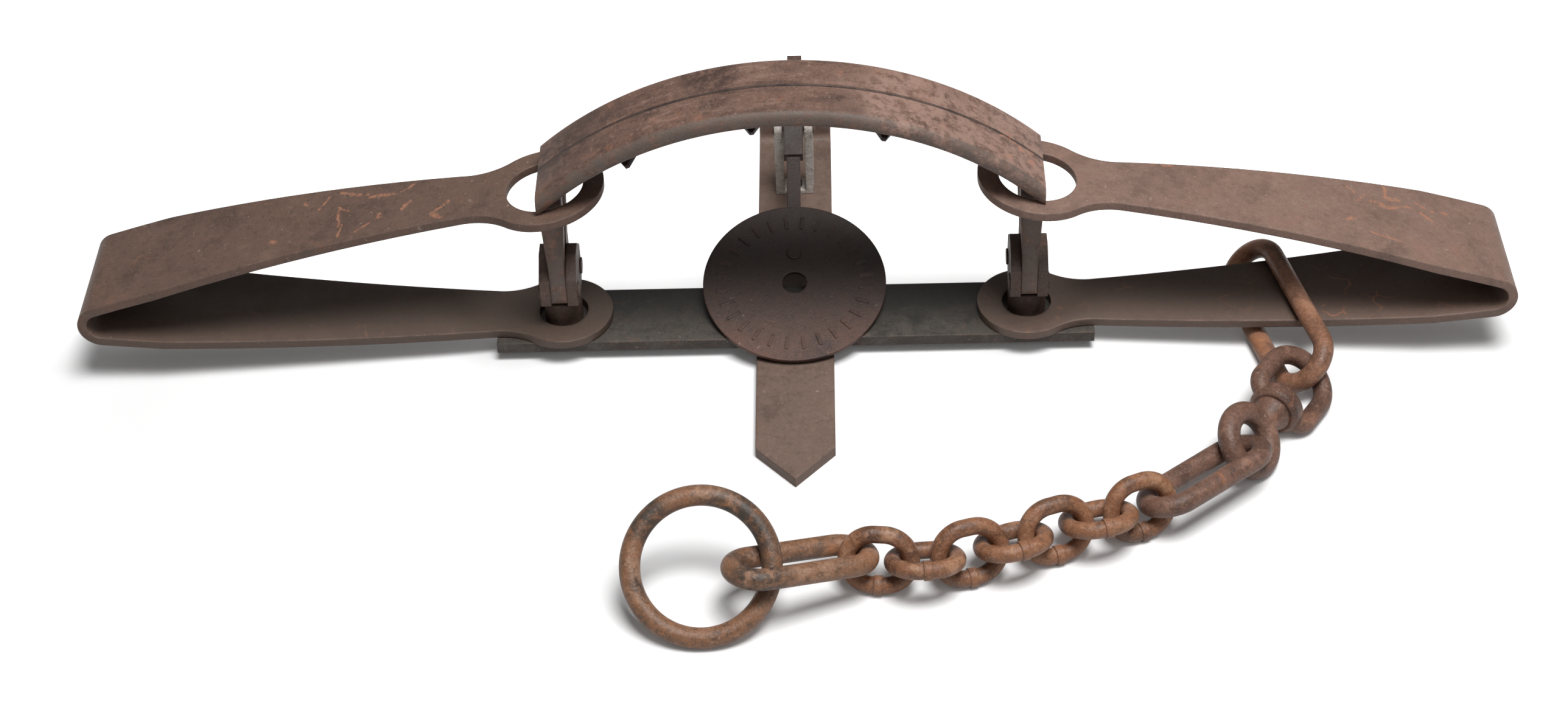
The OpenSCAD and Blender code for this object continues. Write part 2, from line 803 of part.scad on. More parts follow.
module pan() {
    color("maroon")
        pan_frame()
            translate([0, -pan_reach, pan_low_z]) {
                difference() {
                    cylinder(d = pan_d, h = pan_t);
                    translate([0, 0, -1])
                        cylinder(d = pan_hole_d, h = pan_t + 2);
                    translate([0, pan_rivet_r, -1])
                        cylinder(d = pan_rivet_d, h = pan_t + 2);
                }
                for (i = [0:ridge_count - 1])
                    rotate([0, 0, (i + 0.5) * 360 / ridge_count])
                        translate([ridge_r - ridge_len / 2, -ridge_w / 2, pan_t / 2])
                            cube([ridge_len, ridge_w, pan_t / 2 + ridge_h]);
            }
}

module pan_arm() {
    arm_end = pan_reach - pan_rivet_r + 10;
    block_front = block_len - block_back;
    color("brown")
        pan_frame()
            difference() {
                union() {
                    translate([-arm_w / 2, -arm_end, arm_z])
                        cube([arm_w, arm_end - block_front + 1, arm_t]);
                    translate([-block_w / 2, 0, 0])
                        rotate([90, 0, 90])
                            linear_extrude(block_w)
                                polygon([[-block_front, arm_z], [-pivot_d, block_low_z], [block_back, block_low_z],
                                         [block_back, pan_low_z + block_h],
                                         [-block_front, pan_low_z + block_front_h]]);
                }
                translate([-block_w, 0, 0])
                    rotate([0, 90, 0])
                        cylinder(r = pivot_d / 2 + run_fit, h = 2 * block_w);
                translate([0, pan_rivet_r - pan_reach, arm_z - 1])
                    cylinder(d = pan_rivet_d, h = arm_t + 2);
                translate([-block_w, block_back - notch_d, notch_z])
                    cube([2 * block_w, notch_d + 1, notch_h]);
            }
}

module pan_rivet() {
    color("gray")
        pan_frame()
            translate([0, pan_rivet_r - pan_reach, arm_z]) {
                cylinder(d = pan_rivet_d, h = arm_t + pan_t);
                translate([0, 0, arm_t + pan_t])
                    cylinder(d = pan_rivet_d + 5, h = 1.5);
            }
}

module pan_bracket() {
    color("lightgray")
        difference() {
            union() {
                translate([-bracket_w / 2, pivot_y - ear_d / 2, bar_t])
                    cube([bracket_w, ear_d, foot_t]);
                for (x = [-bracket_w / 2, ear_gap / 2])
                    translate([x, pivot_y, 0]) {
                        translate([0, -ear_d / 2, bar_t])
                            cube([ear_t, ear_d, pivot_z - bar_t]);
                        translate([0, 0, pivot_z])
                            rotate([0, 90, 0])
                                cylinder(d = ear_d, h = ear_t);
                    }
            }
            translate([-bracket_w, pivot_y, pivot_z])
                rotate([0, 90, 0])
                    cylinder(d = pivot_d, h = 2 * bracket_w);
            translate([0, pivot_y, bar_t - 1])
                cylinder(d = pan_rivet_d, h = foot_t + 2);
        }
}

module bracket_rivet() {
    color("gray")
        translate([0, pivot_y, 0]) {
            cylinder(d = pan_rivet_d, h = bar_t + foot_t);
            translate([0, 0, bar_t + foot_t])
                cylinder(d = pan_rivet_d + 5, h = 3);
        }
}

module pan_pivot_pin() {
    color("silver")
        translate([-bracket_w / 2, pivot_y, pivot_z])
            rotate([0, 90, 0]) {
                cylinder(d = pivot_d, h = bracket_w);
                translate([0, 0, -2])
                    cylinder(d = pivot_d + 4, h = 2);
                translate([0, 0, bracket_w])
                    cylinder(d = pivot_d + 4, h = 2);
            }
}

// The dog lies back from its post, flush with the bottom of its rolled eye
module dog() {
    color("firebrick")
        translate([-dog_w / 2, dog_pin_y, dog_pin_z])
            difference() {
                union() {
                    rotate([0, 90, 0])
                        cylinder(r = dog_eye_r, h = dog_w);
                    translate([0, 0, -dog_eye_r])
                        cube([dog_w, dog_len, dog_t]);
                }
                translate([-1, 0, 0])
                    rotate([0, 90, 0])
                        cylinder(r = dog_pin_d / 2 + run_fit, h = dog_w + 2);
            }
}

module dog_pin() {
    color("silver")
        translate([-dog_post_w / 2, dog_pin_y, dog_pin_z])
            rotate([0, 90, 0]) {
                cylinder(d = dog_pin_d, h = dog_post_w);
                translate([0, 0, -2])
                    cylinder(d = dog_pin_d + 3, h = 2);
                translate([0, 0, dog_post_w])
                    cylinder(d = dog_pin_d + 3, h = 2);
            }
}

module shackle() {
    color("chocolate")
        laid(shackle_c, shackle_head, 0, shackle_roll)
            oval(shackle_len, shackle_w, shackle_d);
}

// The swivel's own frame: its eye's centre is the origin and its shank runs along X
module swivel_frame(roll) {
    laid(swivel_c, swivel_head, swivel_dip, roll)
        children();
}

module swivel_bow() {
    boss_edge = boss_t / 6;
    color("darkorange")
        swivel_frame(bow_roll)
            difference() {
                union() {
                    translate([boss_x, 0, 0])
                        rotate([0, 90, 0]) {
                            cylinder(d1 = boss_d - 2 * boss_edge, d2 = boss_d, h = boss_edge);
                            translate([0, 0, boss_edge])
                                cylinder(d = boss_d, h = boss_t - 3 * boss_edge);
                            translate([0, 0, boss_t - 2 * boss_edge])
                                cylinder(d1 = boss_d, d2 = boss_d - 5 * boss_edge, h = 2 * boss_edge);
                        }
                    translate([bow_arc_x, 0, 0])
                        rotate([0, 0, -90])
                            rotate_extrude(angle = 180)
                                translate([swivel_rc, 0])
                                    circle(d = swivel_d);
                    for (m = [0, 1])
                        mirror([0, m, 0])
                            translate([boss_x + boss_t / 2 + bow_corner_r, swivel_rc, 0]) {
                                rotate([0, 90, 0])
                                    cylinder(d = swivel_d, h = bow_arc_x - boss_x - boss_t / 2 - bow_corner_r);
                                translate([0, -bow_corner_r, 0])
                                    rotate([0, 0, 90])
                                        rotate_extrude(angle = 90)
                                            translate([bow_corner_r, 0])
                                                circle(d = swivel_d);
                            }
                }
                translate([boss_x - 1, 0, 0])
                    rotate([0, 90, 0])
                        cylinder(r = shank_d / 2 + run_fit, h = boss_t + 2);
            }
}

module swivel_eye() {
    color("orange")
        swivel_frame(eye_roll) {
            rotate_extrude()
                translate([eye_rc, 0])
                    circle(d = eye_d);
            translate([eye_rc, 0, 0])
                rotate([0, 90, 0]) {
                    cylinder(d1 = eye_d, d2 = boss_d - 10, h = boss_x - shank_clear - eye_rc);
                    cylinder(d = shank_d, h = head_x + shank_head_t - eye_rc);
                }
            translate([head_x, 0, 0])
                rotate([0, 90, 0])
                    cylinder(d1 = shank_d + 7, d2 = shank_d + 3, h = shank_head_t);
        }
}

module long_link_1() {
    color("goldenrod")
        chain_piece(0, long_w);
}

module chain_link_1() {
    color("sandybrown")
        chain_piece(1, link_w);
}

module chain_link_2() {
    color("burlywood")
        chain_piece(2, link_w);
}

module chain_link_3() {
    color("sandybrown")
        chain_piece(3, link_w);
}

module chain_link_4() {
    color("burlywood")
        chain_piece(4, link_w);
}

module chain_link_5() {
    color("sandybrown")
        chain_piece(5, link_w);
}

module chain_link_6() {
    color("burlywood")
        chain_piece(6, link_w);
}

module chain_link_7() {
    color("sandybrown")
        chain_piece(7, link_w);
}

module long_link_2() {
    color("goldenrod")
        chain_piece(8, long_w);
}

module drag_ring() {
    color("coral")
        translate(ring_c)
            rotate([ring_tilt, 0, 0])
                rotate_extrude()
                    translate([ring_rc, 0])
                        circle(d = ring_d);
}

base_bar();
cross_bar();
bar_rivets();
left_post();
right_post();
left_jaw_pins();
right_jaw_pins();
front_jaw();
rear_jaw();
front_jaw_teeth();
rear_jaw_teeth();
left_spring_lower();
left_spring_upper();
right_spring_lower();
right_spring_upper();
pan();
pan_arm();
pan_rivet();
pan_bracket();
bracket_rivet();
pan_pivot_pin();
dog();
dog_pin();
shackle();
swivel_bow();
swivel_eye();
long_link_1();
chain_link_1();
chain_link_2();
chain_link_3();
chain_link_4();
chain_link_5();
chain_link_6();
chain_link_7();
long_link_2();
drag_ring();
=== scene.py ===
import json
import math

import bmesh
import bpy
from mathutils import Matrix, Vector


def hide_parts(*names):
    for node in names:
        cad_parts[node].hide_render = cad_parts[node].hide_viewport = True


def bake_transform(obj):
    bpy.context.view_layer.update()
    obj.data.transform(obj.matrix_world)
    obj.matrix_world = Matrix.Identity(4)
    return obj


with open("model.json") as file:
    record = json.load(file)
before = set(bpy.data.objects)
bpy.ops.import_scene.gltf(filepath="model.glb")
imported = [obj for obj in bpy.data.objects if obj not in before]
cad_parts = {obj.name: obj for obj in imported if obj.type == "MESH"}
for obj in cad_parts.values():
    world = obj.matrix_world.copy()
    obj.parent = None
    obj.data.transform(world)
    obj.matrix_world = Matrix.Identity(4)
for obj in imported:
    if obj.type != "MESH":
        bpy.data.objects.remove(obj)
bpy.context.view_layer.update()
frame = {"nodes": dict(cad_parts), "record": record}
nodes = frame["nodes"]
scene = bpy.context.scene
scene.view_settings.view_transform = "Standard"

# Lengths are in metres, unless a name says otherwise

# Camera at the photograph's angle
LENS_MM = 64.286
SENSOR_MM = 36
VIEW_DOWN = math.radians(41.5)
VIEW_TURN = math.radians(-1.654)
VIEW_ROLL = math.radians(-2.256)
VIEW_AWAY = 2.24528
VIEW_SHIFT = (-0.00937, -0.02009)
VIEW_END = 50

# Soft boxes, all aimed at the origin: place, size and power in watts. The surround is the world's strength
LAMPS = {
    "key": ((0.6, -0.85, 4.0), (1.8, 1.6), 180),
    "fill": ((0.9, -2.4, 3.0), (3.0, 1.6), 18),
    "back": ((-0.4, 2.4, 1.7), (3.0, 1.2), 6),
}
WHITE = (1, 1, 1, 1)
SURROUND = 0.03

# Floor: its paint as seen, the shade that it casts back on the trap, and its glow as seen.
# The glow is weak round the trap and rises behind it, by y, and far off, by the distance from the origin
FLOOR_HALF = 30
FLOOR_PAINT = ((0.92, 0.92, 0.92, 1), (0.94, 0.94, 0.94, 1))
FLOOR_SHADE = (0.5, 0.5, 0.5, 1)
NEAR_GLOW = 0.05
# painted light: the floor behind the trap glows brighter, which washes out the shadow there
BACK_GLOW = 0.6
BACK_RISE = (-0.03, 0.08)
FAR_GLOW = 0.95
FAR_RISE = (0.6, 1.6)

# Springs: the bend at the outer end, where the two CAD leaves meet
BEND_Z = 0.057
WELD = 1e-5
UPRIGHT = 0.99
SHARP = math.radians(32)


def rgb(red, green, blue):
    """Linear colour of a colour given as it looks on a screen."""
    def linear(value):
        value /= 255
        return value / 12.92 if value <= 0.04045 else ((value + 0.055) / 1.055) ** 2.4
    return (linear(red), linear(green), linear(blue), 1)


# Noise of each layer: scale per metre, detail, roughness and distortion
NOISE = {
    "patches": (7, 8, 0.62, 0.4),
    "mottle": (42, 8, 0.68),
    "grain": (620, 3, 0.7),
    "ragged": (30, 6, 0.7),
    "streaks": (110, 7, 0.7),
    "blotch": (34, 6, 0.65, 0.6),
    "flecks": (190, 6, 0.72),
    "specks": (240, 3, 0.6),
    "bloom": (11, 6, 0.6, 0.8),
    "dab_areas": (14, 3, 0.5),
    "dabs": (85, 6, 0.66, 1.2),
    "crumbly": (120, 7, 0.75),
    "wander": (38, 3, 0.5),
    "scratch_areas": (8.5, 3, 0.5, 1.0),
    "scratch_gaps": (60, 4, 0.65),
    "chalky": (210, 4, 0.7),
    "shiny": (75, 7, 0.75),
    "floor": (3, 4, 0.5),
}
PITS_PER_M = 520
SCRATCHES_PER_M = 46
SEED_STEP = (1.37, -0.71, 0.53)
STREAK_STRETCH = (0.16, 1, 0.3)
WANDER = 0.02
RAGGED = 1.6
SPOT_FADE = (0.55, 1.25)
STROKE_FADE = (0.25, 1.0)
MM = 1000
# The dark line where the jaws meet, and the edges of the painted shade
SEAM_FADE = (0.0022, 0.0010)
SEAM_RAGGED = 0.0008
PAINTED_SHADE_RAGGED = 0.012
PAINTED_SHADE_FADE = 0.008
# Height at which the upper leaves start, above which the drawn scratches lie
LEAF_TOP = (0.060, 0.075)
# Surface
ROUGH = 0.60
ROUGH_SPREAD = 0.5
SHEEN = 0.4
RUBBED_GLOSS = 0.22
RUBBED_METAL = 0.5
EDGE_RADIUS = 0.0022
EDGE_SAMPLES = 6
EDGE_RISE = (0.015, 0.16)
RELIEF_STRENGTH = 0.5
RELIEF_DEPTH = 0.0006
# Colours that all the steels share
SPECK = rgb(176, 156, 142)
SCRATCH = rgb(190, 122, 88)
DRAWN_SCRATCH = rgb(186, 128, 98)
SEAM = rgb(38, 30, 28)


class Net:
    """A material's node tree, with short calls for adding nodes."""

    def __init__(self, name):
        self.material = bpy.data.materials.new(name)
        self.material.use_nodes = True
        self.tree = self.material.node_tree
        self.tree.nodes.clear()
        self.out = self.add("ShaderNodeOutputMaterial")

    def add(self, kind, **settings):
        node = self.tree.nodes.new(kind)
        for key, value in settings.items():
            setattr(node, key, value)
        return node

    def link(self, source, target):
        self.tree.links.new(source, target)

    def put(self, socket, value):
        if isinstance(value, bpy.types.NodeSocket):
            self.link(value, socket)
        else:
            socket.default_value = value

    def math(self, kind, a, b=0.0, clamp=False):
        node = self.add("ShaderNodeMath", operation=kind, use_clamp=clamp)
        self.put(node.inputs[0], a)
        self.put(node.inputs[1], b)
        return node.outputs[0]

    def times(self, a, b):
        return self.math("MULTIPLY", a, b)

    def plus(self, a, b):
        return self.math("ADD", a, b)

    def minus(self, a, b):
        return self.math("SUBTRACT", a, b)

    def most(self, a, b):
        return self.math("MAXIMUM", a, b)

    def vector(self, kind, a, b=None, scale=None):
        node = self.add("ShaderNodeVectorMath", operation=kind)
        self.put(node.inputs[0], a)
        if b is not None:
            self.put(node.inputs[1], b)
        if scale is not None:
            self.put(node.inputs["Scale"], scale)
        return node.outputs["Value" if kind in ("DISTANCE", "DOT_PRODUCT", "LENGTH") else "Vector"]

    def split(self, vector):
        node = self.add("ShaderNodeSeparateXYZ")
        self.link(vector, node.inputs[0])
        return node.outputs

    def noise(self, where, layer, output="Fac"):
        scale, detail, rough, *warp = NOISE[layer]
        node = self.add("ShaderNodeTexNoise")
        self.link(where, node.inputs["Vector"])
        node.inputs["Scale"].default_value = scale
        node.inputs["Detail"].default_value = detail
        node.inputs["Roughness"].default_value = rough
        node.inputs["Distortion"].default_value = warp[0] if warp else 0
        return node.outputs[output]

    def cells(self, where, scale, feature="F1"):
        node = self.add("ShaderNodeTexVoronoi", feature=feature)
        self.link(where, node.inputs["Vector"])
        node.inputs["Scale"].default_value = scale
        return node.outputs["Distance"]

    def step(self, value, start, full):
        """0 on the start's side, 1 on the far side of full, smooth between them."""
        node = self.add("ShaderNodeMapRange", interpolation_type="SMOOTHSTEP")
        self.link(value, node.inputs["Value"])
        node.inputs["From Min"].default_value = start
        node.inputs["From Max"].default_value = full
        return node.outputs["Result"]

    def mix(self, share, a, b):
        node = self.add("ShaderNodeMix", data_type="RGBA")
        self.put(node.inputs["Factor"], share)
        colours = [s for s in node.inputs if s.type == "RGBA"]
        self.put(colours[0], a)
        self.put(colours[1], b)
        return [s for s in node.outputs if s.type == "RGBA"][0]

    def lay(self, ground, colour, share, strength):
        """The ground with a colour over it, by its share times its strength."""
        return self.mix(self.times(share, strength), ground, colour)

    def vary(self, ground, noise, *tints):
        """The ground with tints of (colour, start, full, strength), brought in as the noise goes to full."""
        for colour, start, full, strength in tints:
            ground = self.lay(ground, colour, self.step(noise, start, full), strength)
        return ground

    def where(self, offset=(0, 0, 0), stretch=(1, 1, 1)):
        coordinates = self.add("ShaderNodeTexCoord")
        mapping = self.add("ShaderNodeMapping")
        self.link(coordinates.outputs["Object"], mapping.inputs["Vector"])
        mapping.inputs["Location"].default_value = offset
        mapping.inputs["Scale"].default_value = stretch
        return mapping.outputs["Vector"]


def spots(net, here, places, ragged):
    """1 near the places given as (x, y, z, radius), fading out with a ragged edge."""
    total = None
    for *centre, radius in places:
        far = net.plus(net.math("DIVIDE", net.vector("DISTANCE", here, centre), radius), ragged)
        near = net.minus(1.0, net.step(far, *SPOT_FADE))
        total = near if total is None else net.most(total, near)
    return total


def strokes(net, here, lines):
    """1 on scratches given in millimetres as (x, y, x, y, width) on plan, 0 beside them."""
    nearest = None
    for x0, y0, x1, y1, width in lines:
        run = Vector((x1 - x0, y1 - y0, 0)) / MM
        away = net.vector("SUBTRACT", here, Vector((x0, y0, 0)) / MM)
        along = net.vector("DOT_PRODUCT", away, run / run.length_squared)
        foot = net.vector("SCALE", run, scale=net.math("ADD", along, 0.0, clamp=True))
        far = net.times(net.vector("DISTANCE", away, foot), MM / width)
        nearest = far if nearest is None else net.math("MINIMUM", nearest, far)
    return net.minus(1.0, net.step(nearest, *STROKE_FADE))


def rusted(name, base, dark, light, orange, orange_share, scratches, edge, edge_colour, seed, rough=ROUGH,
           front=None, crest=None, streaks=0.0, blotch=0.0, seam=False, marks=(), worn=(), stained=(),
           painted_light=(), painted_shade=None):
    """Old steel: mottled brown rust, orange bloom and scratches, and edges rubbed brighter, with painted shade
    and painted light where they are given.
    """
    net = Net(name)
    plain = net.where()
    here = net.where([seed * step for step in SEED_STEP])
    place = net.split(plain)
    mottle = net.noise(here, "mottle")
    grain = net.noise(here, "grain")
    ragged = net.times(net.minus(net.noise(here, "ragged"), 0.5), RAGGED)
    geometry = net.add("ShaderNodeNewGeometry")
    facing = net.split(net.add("ShaderNodeTexCoord").outputs["Normal"])
    sideways = net.math("ABSOLUTE", facing["Y"])

    # brown ground, from dark to light
    tone = net.plus(net.times(net.noise(here, "patches"), 0.5), net.times(mottle, 0.5))
    ground = net.mix(net.step(tone, 0.34, 0.50), dark, base)
    ground = net.vary(ground, tone, (light, 0.50, 0.68, 0.7))
    # painted shade: faces that look to the front or back take the darker front colour
    if front:
        ground = net.lay(ground, front, net.step(sideways, 0.4, 0.8), net.step(mottle, 0.3, 0.5))
    if streaks:
        drawn_out = net.noise(net.where((seed, 0, 0), STREAK_STRETCH), "streaks")
        ground = net.vary(ground, drawn_out, (dark, 0.48, 0.36, streaks), (light, 0.54, 0.66, streaks * 0.7))
    if blotch:
        ground = net.vary(ground, net.noise(here, "blotch"),
                          (dark, 0.48, 0.38, blotch), (light, 0.56, 0.66, blotch))

    # flecks, sandy grain and a few pale specks
    ground = net.vary(ground, net.noise(here, "flecks"), (dark, 0.46, 0.36, 0.55), (light, 0.55, 0.66, 0.45))
    ground = net.vary(ground, grain, (light, 0.52, 0.70, 0.40), (dark, 0.48, 0.30, 0.50))
    ground = net.vary(ground, net.noise(here, "specks"), (SPECK, 0.67, 0.73, 0.5))

    # orange bloom in broad soft patches broken up by the mottle, and small dabs
    bloom = net.times(net.step(net.noise(here, "bloom"), 0.52, 0.72), net.step(mottle, 0.42, 0.62))
    dabs = net.times(net.step(net.noise(here, "dab_areas"), 0.46, 0.60),
                     net.step(net.noise(here, "dabs"), 0.57, 0.66))
    ground = net.lay(ground, orange, net.most(bloom, dabs), orange_share)

    # dark stains and painted light in given places, the dark seam between the jaws, and painted shade towards
    # the back
    crumbly = net.step(net.noise(here, "crumbly"), 0.38, 0.58)
    if stained:
        ground = net.lay(ground, dark, spots(net, plain, stained, ragged), crumbly)
    # painted light: given places made paler, as if lit more
    if painted_light:
        ground = net.lay(ground, light, spots(net, plain, painted_light, ragged), crumbly)
    if seam:
        beside = net.plus(net.math("ABSOLUTE", place["Y"]), net.times(ragged, SEAM_RAGGED))
        ground = net.lay(ground, SEAM, net.step(beside, *SEAM_FADE), 0.85)
    # painted shade: low parts darkened towards the back, where the parts above them shade them
    if painted_shade:
        colour, start, full, top = painted_shade
        back = net.step(net.plus(place["Y"], net.times(ragged, PAINTED_SHADE_RAGGED)), start, full)
        low = net.step(place["Z"], top + PAINTED_SHADE_FADE, top - PAINTED_SHADE_FADE)
        ground = net.lay(ground, colour, net.times(back, low), 0.85)

    # thin wandering scratches, faint all over and bright where the steel is worn
    shake = net.vector("SUBTRACT", net.noise(here, "wander", "Color"), (0.5, 0.5, 0.5))
    bent = net.vector("ADD", plain, net.vector("SCALE", shake, scale=WANDER))
    line = net.minus(1.0, net.step(net.cells(bent, SCRATCHES_PER_M, "DISTANCE_TO_EDGE"), 0.008, 0.045))
    few = net.times(net.step(net.noise(here, "scratch_areas"), 0.56, 0.66), 0.45)
    if worn:
        few = net.most(few, spots(net, plain, worn, ragged))
    mark = net.times(net.times(line, few), net.step(net.noise(here, "scratch_gaps"), 0.47, 0.56))
    ground = net.lay(ground, SCRATCH, mark, scratches)
    if marks:
        drawn = strokes(net, net.vector("MULTIPLY", bent, (1, 1, 0)), marks)
        drawn = net.times(drawn, net.step(net.noise(here, "chalky"), 0.36, 0.56))
        drawn = net.times(drawn, net.step(place["Z"], *LEAF_TOP))
        ground = net.lay(ground, DRAWN_SCRATCH, drawn, 0.6)

    # shiny sides and rubbed edges
    bevel = net.add("ShaderNodeBevel", samples=EDGE_SAMPLES)
    bevel.inputs["Radius"].default_value = EDGE_RADIUS
    along = net.vector("DOT_PRODUCT", geometry.outputs["Normal"], bevel.outputs["Normal"])
    rim = net.step(net.minus(1.0, along), *EDGE_RISE)
    rubbed = net.times(net.times(rim, net.step(mottle, 0.38, 0.58)), edge)
    if crest:
        shiny = net.times(net.step(sideways, 0.20, 0.50), net.step(net.noise(here, "shiny"), 0.38, 0.56))
        ground = net.lay(ground, crest, shiny, 0.8)
    ground = net.mix(rubbed, ground, edge_colour)

    # surface and relief
    shader = net.add("ShaderNodeBsdfPrincipled")
    net.link(ground, shader.inputs["Base Color"])
    dull = net.plus(rough, net.times(net.minus(mottle, 0.5), ROUGH_SPREAD))
    net.link(net.minus(dull, net.times(rubbed, RUBBED_GLOSS)), shader.inputs["Roughness"])
    net.link(net.times(rubbed, RUBBED_METAL), shader.inputs["Metallic"])
    shader.inputs["Specular IOR Level"].default_value = SHEEN
    height = net.plus(net.times(grain, 0.9), net.times(mottle, 1.2))
    height = net.plus(height, net.times(net.cells(here, PITS_PER_M), 0.5))
    height = net.minus(height, net.times(mark, 0.25))
    relief = net.add("ShaderNodeBump")
    relief.inputs["Strength"].default_value = RELIEF_STRENGTH
    relief.inputs["Distance"].default_value = RELIEF_DEPTH
    net.link(height, relief.inputs["Height"])
    net.link(bevel.outputs["Normal"], relief.inputs["Normal"])
    net.link(relief.outputs["Normal"], shader.inputs["Normal"])
    net.link(shader.outputs["BSDF"], net.out.inputs["Surface"])
    return net.material


# Scratches on the upper leaves, seen from above, in millimetres: both ends and the width
LEAF_MARKS = (
    (-353, 28, -330, 21, 2.2), (-327, 16, -308, 15, 2.6), (-301, 17, -293, 21, 2.0), (-301, -3, -292, 3, 1.8),
    (-352, 9, -343, 5, 1.8), (-351, 7, -351, -14, 1.8), (-348, -12, -348, -26, 1.4), (-366, 11, -362, 25, 1.8),
    (-332, -23, -327, -17, 2.0), (-319, -9, -317, -6, 2.6), (-276, -14, -264, -3, 2.0),
    (-275, -15, -268, -24, 3.4), (-383, 25, -382, 24, 3.6), (-401, -15, -400, -16, 4.5),
    (461, 39, 462, 28, 2.0), (462, 27, 474, 27, 2.4), (453, 18, 484, 20, 2.2), (434, 36, 437, 23, 1.2),
    (440, 12, 446, 23, 1.6), (432, -7, 437, -6, 3.2), (447, -23, 467, -22, 1.8), (492, 18, 495, 12, 2.6),
    (488, 30, 499, 25, 1.8), (508, 24, 511, 22, 2.6), (278, 24, 296, 26, 2.4))
# The leaves' painted shade darkens the lower leaf towards the back, where the upper leaf shades it
LEAF = dict(scratches=0.35, edge=0.5, seed=2, orange=rgb(150, 104, 82), orange_share=0.3,
            marks=LEAF_MARKS, worn=((0.43, -0.02, 0.04, 0.05),), painted_shade=(rgb(86, 74, 66), -0.110, 0.000, 0.052))
# Worn and stained places, and places of painted light, are (x, y, z, radius). Painted shade is its colour,
# the y where it starts and is full, and the z up to which it lies
STEELS = {
    # painted light: the jaws' right end paler, as if lit from the right
    "jaw_steel": dict(base=rgb(116, 89, 77), dark=rgb(74, 56, 49), light=rgb(156, 126, 113),
                      orange=rgb(170, 112, 80), orange_share=0.45, scratches=0.7, edge=0.45,
                      edge_colour=rgb(150, 124, 110), seed=1, crest=rgb(102, 91, 84), streaks=0.6, seam=True,
                      worn=((0.170, -0.012, 0.185, 0.025),),
                      painted_light=((0.165, -0.01, 0.18, 0.08), (0.10, -0.01, 0.21, 0.07)),
                      stained=((-0.172, 0.0, 0.17, 0.035), (0.05, -0.03, 0.225, 0.03),
                               (-0.06, 0.02, 0.235, 0.025))),
    # painted shade: the left spring's steel, darker than the right spring's copy, as shade on the left
    "leaf_steel": dict(base=rgb(104, 82, 71), dark=rgb(80, 64, 56), light=rgb(126, 100, 88),
                       edge_colour=rgb(142, 118, 106), **LEAF),
    # painted light: the right spring's copy of the leaf steel, lighter, as if lit from the right
    "right_leaf_painted_lit_steel": dict(base=rgb(134, 108, 96), dark=rgb(110, 88, 78), light=rgb(156, 128, 115),
                             edge_colour=rgb(160, 134, 121), **LEAF),
    # painted shade: the base bar's front and back faces darker, and its top darker towards the back
    "base_steel": dict(base=rgb(80, 75, 69), dark=rgb(52, 50, 47), light=rgb(98, 90, 82),
                       orange=rgb(118, 88, 72), orange_share=0.4, scratches=0.1, edge=0.4,
                       edge_colour=rgb(122, 96, 82), front=rgb(64, 55, 49), blotch=0.5,
                       painted_shade=(rgb(52, 50, 47), -0.030, 0.020, 0.050), seed=3),
    "cross_steel": dict(base=rgb(114, 94, 83), dark=rgb(92, 75, 66), light=rgb(130, 108, 97),
                        orange=rgb(136, 98, 80), orange_share=0.2, scratches=0.2, edge=0.5,
                        edge_colour=rgb(146, 124, 110), seed=8),
    "post_steel": dict(base=rgb(88, 70, 62), dark=rgb(60, 49, 45), light=rgb(112, 91, 81),
                       orange=rgb(140, 94, 72), orange_share=0.3, scratches=0.3, edge=0.4,
                       edge_colour=rgb(132, 114, 104), seed=4),
    # painted shade: the pan darkened towards the back, where the jaws shade it
    "pan_steel": dict(base=rgb(94, 70, 61), dark=rgb(60, 46, 42), light=rgb(114, 86, 75),
                      orange=rgb(140, 88, 66), orange_share=0.3, scratches=0.15, edge=0.4,
                      edge_colour=rgb(128, 98, 88), seed=5, painted_shade=(rgb(43, 36, 33), -0.060, 0.030, 0.090)),
    "chain_steel": dict(base=rgb(142, 97, 70), dark=rgb(78, 56, 45), light=rgb(184, 142, 112),
                        orange=rgb(186, 122, 78), orange_share=0.6, scratches=0.15, edge=0.2,
                        edge_colour=rgb(170, 140, 118), blotch=0.6, seed=6, rough=0.48),
    "shackle_steel": dict(base=rgb(146, 102, 78), dark=rgb(94, 69, 57), light=rgb(180, 138, 112),
                          orange=rgb(184, 122, 80), orange_share=0.5, scratches=0.2, edge=0.2,
                          edge_colour=rgb(176, 146, 124), blotch=0.5, seed=11, rough=0.48),
    "swivel_steel": dict(base=rgb(118, 87, 73), dark=rgb(76, 56, 48), light=rgb(156, 120, 102),
                         orange=rgb(166, 108, 74), orange_share=0.45, scratches=0.2, edge=0.2,
                         edge_colour=rgb(164, 136, 118), blotch=0.5, seed=12, rough=0.50),
    "ring_steel": dict(base=rgb(134, 96, 71), dark=rgb(70, 60, 53), light=rgb(170, 134, 110),
                       orange=rgb(178, 118, 76), orange_share=0.6, scratches=0.3, edge=0.2,
                       edge_colour=rgb(170, 140, 118), blotch=0.6, seed=9, rough=0.48,
                       stained=((-0.040, -0.279, 0.070, 0.022), (-0.026, -0.290, 0.060, 0.016),
                                (-0.106, -0.281, 0.068, 0.022), (-0.111, -0.331, 0.017, 0.012),
                                (-0.023, -0.329, 0.056, 0.026))),
    "ear_steel": dict(base=rgb(196, 188, 180), dark=rgb(124, 108, 98), light=rgb(232, 228, 224),
                      orange=rgb(150, 108, 84), orange_share=0.3, scratches=0.2, edge=0.8,
                      edge_colour=rgb(168, 160, 154), seed=10),
    "tooth_steel": dict(base=rgb(52, 44, 42), dark=rgb(34, 30, 30), light=rgb(76, 62, 56),
                        orange=rgb(110, 70, 54), orange_share=0.2, scratches=0.1, edge=0.3,
                        edge_colour=rgb(110, 92, 84), seed=7),
}
